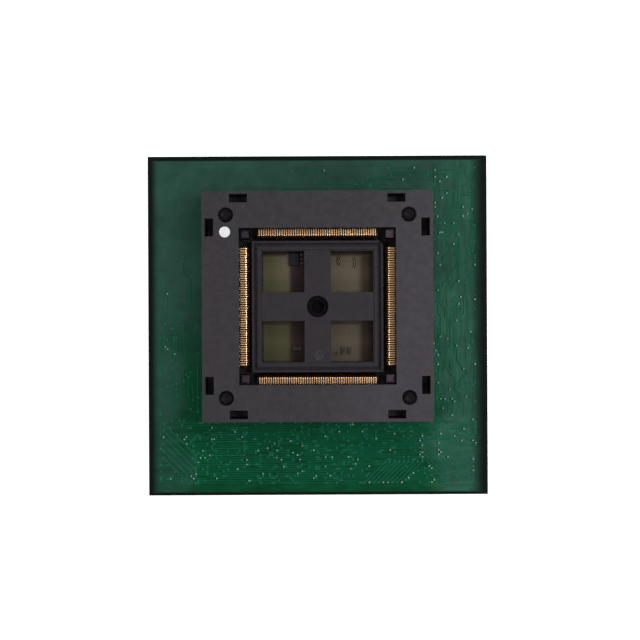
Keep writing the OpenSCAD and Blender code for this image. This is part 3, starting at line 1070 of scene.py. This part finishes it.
    def make_traces(self, name: str, found: list[list[Cell]], finish: Finish) -> None:
        """Makes one piece of these traces."""
        paths = [[self.place(c) for c in corners(path)] for path in found]
        ribs = link(name, lines_mesh(name, paths))
        rib_pattern(f"{name}_ribs", self.width, self.height, finish).run(ribs)
        settle(ribs, Body.BASE)

    def make_vias(
        self, name: str, points: list[Point], finish: Finish, radius: float, aside: float = 0.0
    ) -> None:
        """Makes one piece of the vias at these points, each with a dark disc of painted shade for
        its hole.
        """
        vias = link(name, points_mesh(f"{name}_points", points))
        ring_pattern(f"{name}_rings", radius, self.lip, finish, HOLE_SHADE, aside).run(vias)
        settle(vias, Body.BASE)


def corners(path: Sequence[Cell]) -> list[Cell]:
    """Returns a grid path without the cells where it runs straight on."""
    kept = [path[0]]
    for before, here, after in zip(path, path[1:], path[2:]):
        if (here[0] - before[0], here[1] - before[1]) != (after[0] - here[0], after[1] - here[1]):
            kept.append(here)
    return [*kept, path[-1]]


def box_into(bm: bmesh.types.BMesh, low: Point, high: Point, radius: float) -> None:
    """Adds a box between two corners, with its edges rounded."""
    made = bmesh.ops.create_cube(bm, size=1.0)["verts"]
    for vert in made:
        vert.co = Vector(
            [(lo + hi) / 2 + c * (hi - lo) for lo, hi, c in zip(low, high, vert.co)]
        ) * MM
    edges = list({e for v in made for e in v.link_edges})
    bmesh.ops.bevel(
        bm, geom=edges, offset=radius * MM, segments=2, affect="EDGES", profile=0.5,
        clamp_overlap=True,
    )


def settle_boxes(name: str, bm: bmesh.types.BMesh, finish: Finish) -> None:
    """Makes a finished piece of a bmesh of rounded boxes."""
    piece = link(name, mesh_of(bm, name, smooth=True), finish)
    harden(piece.data)
    settle(piece, Body.BASE)


def collar_pattern(name: str, foot: float, top: float, height: float, finish: Finish) -> Pattern:
    """Returns a pattern that hangs a hollow-sided solder collar from each point."""
    made = Pattern(name)
    tree = made.tree
    wide = made.number("Foot radius", foot * MM)
    slim = made.number("Top radius", top * MM)
    tall = made.number("Height", height * MM)
    waist = tree.maths("MULTIPLY_ADD", tree.maths("SUBTRACT", wide, slim), 0.3, slim)
    low = tree.times(tall, 0.3)
    skirt = tree.node(
        "GeometryNodeMeshCone",
        {"Vertices": 10, "Radius Top": waist, "Radius Bottom": wide, "Depth": low},
        fill_type="NONE",
    )
    neck = tree.node("GeometryNodeMeshCone", {
        "Vertices": 10, "Radius Top": slim, "Radius Bottom": waist,
        "Depth": tree.maths("SUBTRACT", tall, low),
    })
    lift = tree.node("ShaderNodeCombineXYZ", {2: low})
    raised = tree.moved(neck, Translation=lift.outputs[0])
    hung = tree.moved(tree.joined(skirt, raised), Rotation=(math.pi, 0.0, 0.0))
    made.close([(made.on_points(hung.outputs[0]), finish)])
    return made


def foot_pattern(name: str, finish: Finish) -> Pattern:
    """Returns a pattern that sets a pad and a solder ramp at each point, turned by "turn"."""
    made = Pattern(name)
    tree = made.tree
    wide = made.number("Pad width", 0.72 * MM)
    long = made.number("Pad length", 1.7 * MM)
    thick = made.number("Pad thickness", 0.05 * MM)
    size = tree.node("ShaderNodeCombineXYZ", {0: wide, 1: long, 2: thick})
    pad = tree.node("GeometryNodeMeshCube", {"Size": size.outputs[0]})
    pad = tree.moved(pad, Translation=(0, -0.45 * MM, -0.02 * MM))
    ramp = tree.node("GeometryNodeMeshCube", {"Size": (0.44 * MM, 0.42 * MM, 0.09 * MM)})
    ramp = tree.moved(ramp, Translation=(0, 0.12 * MM, -0.07 * MM), Rotation=(0.5, 0, 0))
    turn = tree.node("GeometryNodeInputNamedAttribute", {"Name": "turn"}, data_type="FLOAT_VECTOR")
    foot = tree.joined(pad, ramp)
    made.close([(made.on_points(foot.outputs[0], Rotation=turn.outputs[0]), finish)])
    return made


# ---- sub-assemblies ----


# places in the windows, from the socket's middle
CAPS = (  # x, y, width, height
    (5.6, -9.9, 0.8, 1.6), (7.0, -9.9, 0.8, 1.6), (4.1, -10.5, 0.8, 0.6), (-4.6, -9.4, 1.6, 0.8)
)
ARCS = ((6.5, 10.2, 1.9, 140, 215), (6.3, 9.9, 2.1, -35, 40))  # x, y, radius, degrees from and to


def on_side(side: int, x: float, y: float) -> tuple[float, float]:
    """Turns a place drawn for the north side to the side with this number."""
    for _ in range(side):
        x, y = y, -x
    return x, y


@dataclass
class Board:
    """The adapter board with its dressing and its connector strips.

    Attributes:
        seed: Seed of the traces.
        ways, pitch: Contacts on a side, and their spacing.
        tail_first, tail_gap, tail_rows: The first row of tails, their spacing and number.
        strip_ways, strip_pitch: Feet along each side of a strip, and their spacing.
        strip_at, foot_out: From the board's middle to a strip's, and from there to its feet.
    """

    seed: int = 208
    ways: int = 52
    pitch: float = 0.5
    tail_first: float = 15.2
    tail_gap: float = 1.8
    tail_rows: int = 4
    strip_ways: int = 26
    strip_pitch: float = 1.27
    strip_at: float = 34.6
    foot_out: float = 2.6

    def build(self) -> None:
        """Finishes the board, the strips and their contacts."""
        finish_node("adapter_board", INK)
        Routing(Face.TOP, self.seed).build()
        Routing(Face.UNDER, self.seed + 1).build()
        self.solder_tails()
        self.solder_feet()
        self.window_chip()
        self.window_caps()
        self.window_arcs()
        for side in SIDES:
            softened(f"socket_strip_{side}", STRIP_RESIN, Body.BASE, 0.12)
            finish_node(f"strip_contacts_{side}", GOLD)

    def solder_tails(self) -> None:
        """Puts a collar of solder round each contact tail below the board."""
        points = []
        for side in range(4):
            for i in range(self.ways):
                out = self.tail_first + i % self.tail_rows * self.tail_gap
                x, y = on_side(side, (i - (self.ways - 1) / 2) * self.pitch, out)
                points.append((x, y + SOCKET.y, BOARD_UNDER))
        collars = link("tail_solder", points_mesh("tail_points", points))
        collar_pattern("tail_collars", 0.5, 0.25, 0.42, TIN).run(collars)
        settle(collars, Body.BASE)

    def solder_feet(self) -> None:
        """Solders the strips' feet to tinned pads below the board."""
        points, turns = [], []
        for side in range(4):
            for i in range(self.strip_ways):
                along = (i - (self.strip_ways - 1) / 2) * self.strip_pitch
                for out in (1, -1):
                    x, y = on_side(side, along, self.strip_at + out * self.foot_out)
                    points.append((x, y, BOARD_UNDER))
                    turns.append((0.0, 0.0, -math.pi / 2 * side + (math.pi if out < 0 else 0.0)))
        mesh = points_mesh("foot_points", points)
        turn = mesh.attributes.new("turn", "FLOAT_VECTOR", "POINT")
        turn.data.foreach_set("vector", [c for t in turns for c in t])
        feet = link("foot_solder", mesh)
        foot_pattern("foot_pads", TIN).run(feet)
        settle(feet, Body.BASE)

    def window_chip(self) -> None:
        """Sets the small chip that shows through one window, with its six solder joints."""
        body, joints = bmesh.new(), bmesh.new()
        x, y, z = -5.2, 10.7 + SOCKET.y, BOARD_TOP
        box_into(body, (x - 1.2, y - 1.4, z + 0.1), (x + 1.2, y + 1.4, z + 1.1), 0.12)
        for sign in (-1, 1):
            a, b = sorted((x + sign * 1.1, x + sign * 1.75))
            for k in (-0.95, 0.0, 0.95):
                box_into(joints, (a, y + k - 0.2, z), (b, y + k + 0.2, z + 0.16), 0.04)
        settle_boxes("window_chip", body, CHIP)
        settle_boxes("window_joints", joints, SHADED_JOINT)

    def window_caps(self) -> None:
        """Sets the small two-ended parts that show through two windows."""
        bodies, ends = bmesh.new(), bmesh.new()
        for x, y, w, h in CAPS:
            y += SOCKET.y
            long = 0 if w > h else 1
            low = [x - w / 2, y - h / 2, BOARD_TOP]
            high = [x + w / 2, y + h / 2, BOARD_TOP + 0.55]
            box_into(bodies, tuple(low), tuple(high), 0.06)
            for start, stop in (
                (low[long] - 0.03, low[long] + 0.25), (high[long] - 0.25, high[long] + 0.03)
            ):
                a, b = list(low), list(high)
                a[long], b[long] = start, stop
                a[1 - long] -= 0.02
                b[1 - long] += 0.02
                b[2] += 0.02
                box_into(ends, tuple(a), tuple(b), 0.04)
        settle_boxes("window_caps", bodies, TAN_CHIP)
        settle_boxes("window_cap_ends", ends, END_CAP)

    def window_arcs(self) -> None:
        """Lays the two raised arcs that show through one window, each with a painted highlight along
        its top.
        """
        arcs = []
        for x, y, radius, first, last in ARCS:
            turns = [math.radians(a) for a in range(first, last + 1, 8)]
            arcs.append([
                (x + radius * math.cos(a), y + SOCKET.y + radius * math.sin(a), BOARD_TOP)
                for a in turns
            ])
        for name, width, tall, finish in (
            ("window_marks", 0.6, 0.05, TAN_CHIP), ("window_mark_highlights", 0.22, 0.08, ARC_HIGHLIGHT)
        ):
            marks = link(name, lines_mesh(name, arcs))
            rib_pattern(f"{name}_ribs", width, tall, finish).run(marks)
            settle(marks, Body.BASE)


@dataclass
class Base:
    """The socket's base with its guide plate and nest."""

    def build(self) -> None:
        """Finishes the fixed mouldings."""
        finish_node("socket_base", BASE_RESIN)
        finish_node("tail_guide_plate", BASE_RESIN)
        softened("package_nest", NEST_RESIN, Body.BASE, 0.2)


@dataclass
class Contacts:
    """The four rows of contacts."""

    def build(self) -> None:
        """Finishes the fixed halves, dark with painted shade, and the moving halves."""
        for side in SIDES:
            finish_node(f"contact_roots_{side}", SHADED_ROOT_GOLD)
            finish_node(f"contact_arms_{side}", GOLD)


@dataclass
class Springs:
    """The four return springs, wound as round wire with closed end turns.

    Attributes:
        post: From the socket's middle to a guide post, along each axis.
        low, high, travel: Heights of the foot and the top at rest, and how far they close up; travel
            is not used.
        coil, wire: Radii of the coil's middle line and of the wire.
        closed: Rise of a closed end turn, in radii of the wire.
        turns, steps: Working turns, and points on a turn.
    """

    post: float = 19.8
    low: float = 9.4
    high: float = 20.7
    travel: float = 2.5
    coil: float = 2.1
    wire: float = 0.25
    closed: float = 2.1
    turns: int = 6
    steps: int = 20

    def height(self, turn: float) -> float:
        """Returns the wire's height after some turns."""
        total = self.turns + 2
        closed = self.wire * self.closed
        low, high = self.low + self.wire, self.high - self.wire
        if turn < 1:
            return low + closed * turn
        if turn > total - 1:
            return high - closed * (total - turn)
        return low + closed + (high - low - 2 * closed) / self.turns * (turn - 1)

    def path(self, at: Vector) -> list[Point]:
        """Returns the wire's middle line round the post at this place."""
        points = []
        for k in range((self.turns + 2) * self.steps + 1):
            turn = k / self.steps
            a = 2 * math.pi * turn
            points.append(
                (at.x + self.coil * math.cos(a), at.y + self.coil * math.sin(a), self.height(turn))
            )
        return points

    def build(self) -> None:
        """Winds and seats each spring."""
        for name, sx, sy in (("ne", 1, 1), ("se", 1, -1), ("sw", -1, -1), ("nw", -1, 1)):
            at = SOCKET + Vector((self.post * sx, self.post * sy, 0))
            coil = link(f"spring_wire_{name}", lines_mesh(f"spring_{name}", [self.path(at)]))
            tube_pattern(f"spring_{name}", self.wire, 10, STEEL).run(coil)
            settle(coil, Body.BASE)
            for polygon in coil.data.polygons:
                polygon.use_smooth = True
            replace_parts(coil, f"return_spring_{name}")
            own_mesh(coil)


@dataclass
class Cover:
    """The pressed cover with its mark for contact one."""

    def build(self) -> None:
        """Finishes the cover and fills the dot."""
        softened("cover", COVER_RESIN, Body.COVER, 0.25)
        finish_node("pin_one_dot", PAINT)


# ---- stage ----


def build_camera() -> None:
    """Sets the camera above the board, looking straight down."""
    data = bpy.data.cameras.new("view")
    data.sensor_width = 36.0
    data.lens = 102.04
    data.clip_start = 0.01
    data.clip_end = 10.0
    camera = bpy.data.objects.new("view", data)
    camera.location = Vector((0.505, 1.217, 414.4)) * MM
    camera.rotation_euler = (0.0, 0.0, math.radians(-0.265))
    bpy.context.scene.collection.objects.link(camera)
    bpy.context.scene.camera = camera


# name, place in metres, size in metres, power in watts and colour; none stands right above the
# socket, where flat gold would mirror it
LIGHTS = (
    ("east", (0.21, 0.03, 0.60), 0.16, 1.2, (1.0, 0.98, 1.0)),
    ("west", (-0.38, 0.0, 1.00), 0.24, 1.3, (0.99, 1.0, 1.0)),
    ("south", (0.05, -0.36, 0.90), 0.24, 1.2, (1.0, 1.0, 1.0)),
    ("north", (0.0, 0.38, 0.90), 0.24, 1.2, (1.0, 1.0, 1.0)),
    ("left_side", (-0.80, -0.10, 0.38), 0.12, 1.8, (1.0, 1.0, 1.0)),
    ("right_side", (0.80, 0.10, 0.38), 0.12, 1.8, (1.0, 1.0, 1.0)),
)
SKY = 0.29
FLOOR_HALF = 1.5
FLOOR_DROP = 0.02


def area_light(name: str, at: Point, size: float, power: float, colour: Colour) -> None:
    """Adds a square soft light aimed at the middle of the socket, with lengths in metres."""
    data = bpy.data.lights.new(name, "AREA")
    data.shape = "SQUARE"
    data.size = size
    data.energy = power
    data.color = colour
    lamp = bpy.data.objects.new(name, data)
    lamp.location = at
    lamp.rotation_euler = (-Vector(at)).to_track_quat("-Z", "Y").to_euler()
    bpy.context.scene.collection.objects.link(lamp)


def build_stage() -> None:
    """Adds the floor, the lights and the sky, and plain colour output."""
    bm = bmesh.new()
    bmesh.ops.create_grid(bm, x_segments=8, y_segments=8, size=FLOOR_HALF)
    bmesh.ops.translate(bm, verts=bm.verts, vec=(0.0, 0.0, -FLOOR_DROP * MM))
    floor = link("floor", mesh_of(bm, "floor"), CARD)
    for light in LIGHTS:
        area_light(*light)
    world = bpy.data.worlds.new("sky")
    world.use_nodes = True
    sky = world.node_tree.nodes["Background"]
    sky.inputs["Color"].default_value = (1.0, 1.0, 1.0, 1.0)
    sky.inputs["Strength"].default_value = SKY
    bpy.context.scene.world = world
    bpy.context.scene.view_settings.view_transform = "Standard"


def main() -> None:
    """Builds the scene in order."""
    logging.basicConfig(level=logging.INFO, format="%(name)s: %(message)s")
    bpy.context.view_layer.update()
    build_camera()
    for part in (Board(), Base(), Contacts(), Springs(), Cover()):
        log.info("building %s", type(part).__name__)
        part.build()
    build_stage()


if __name__ == "__main__":
    main()
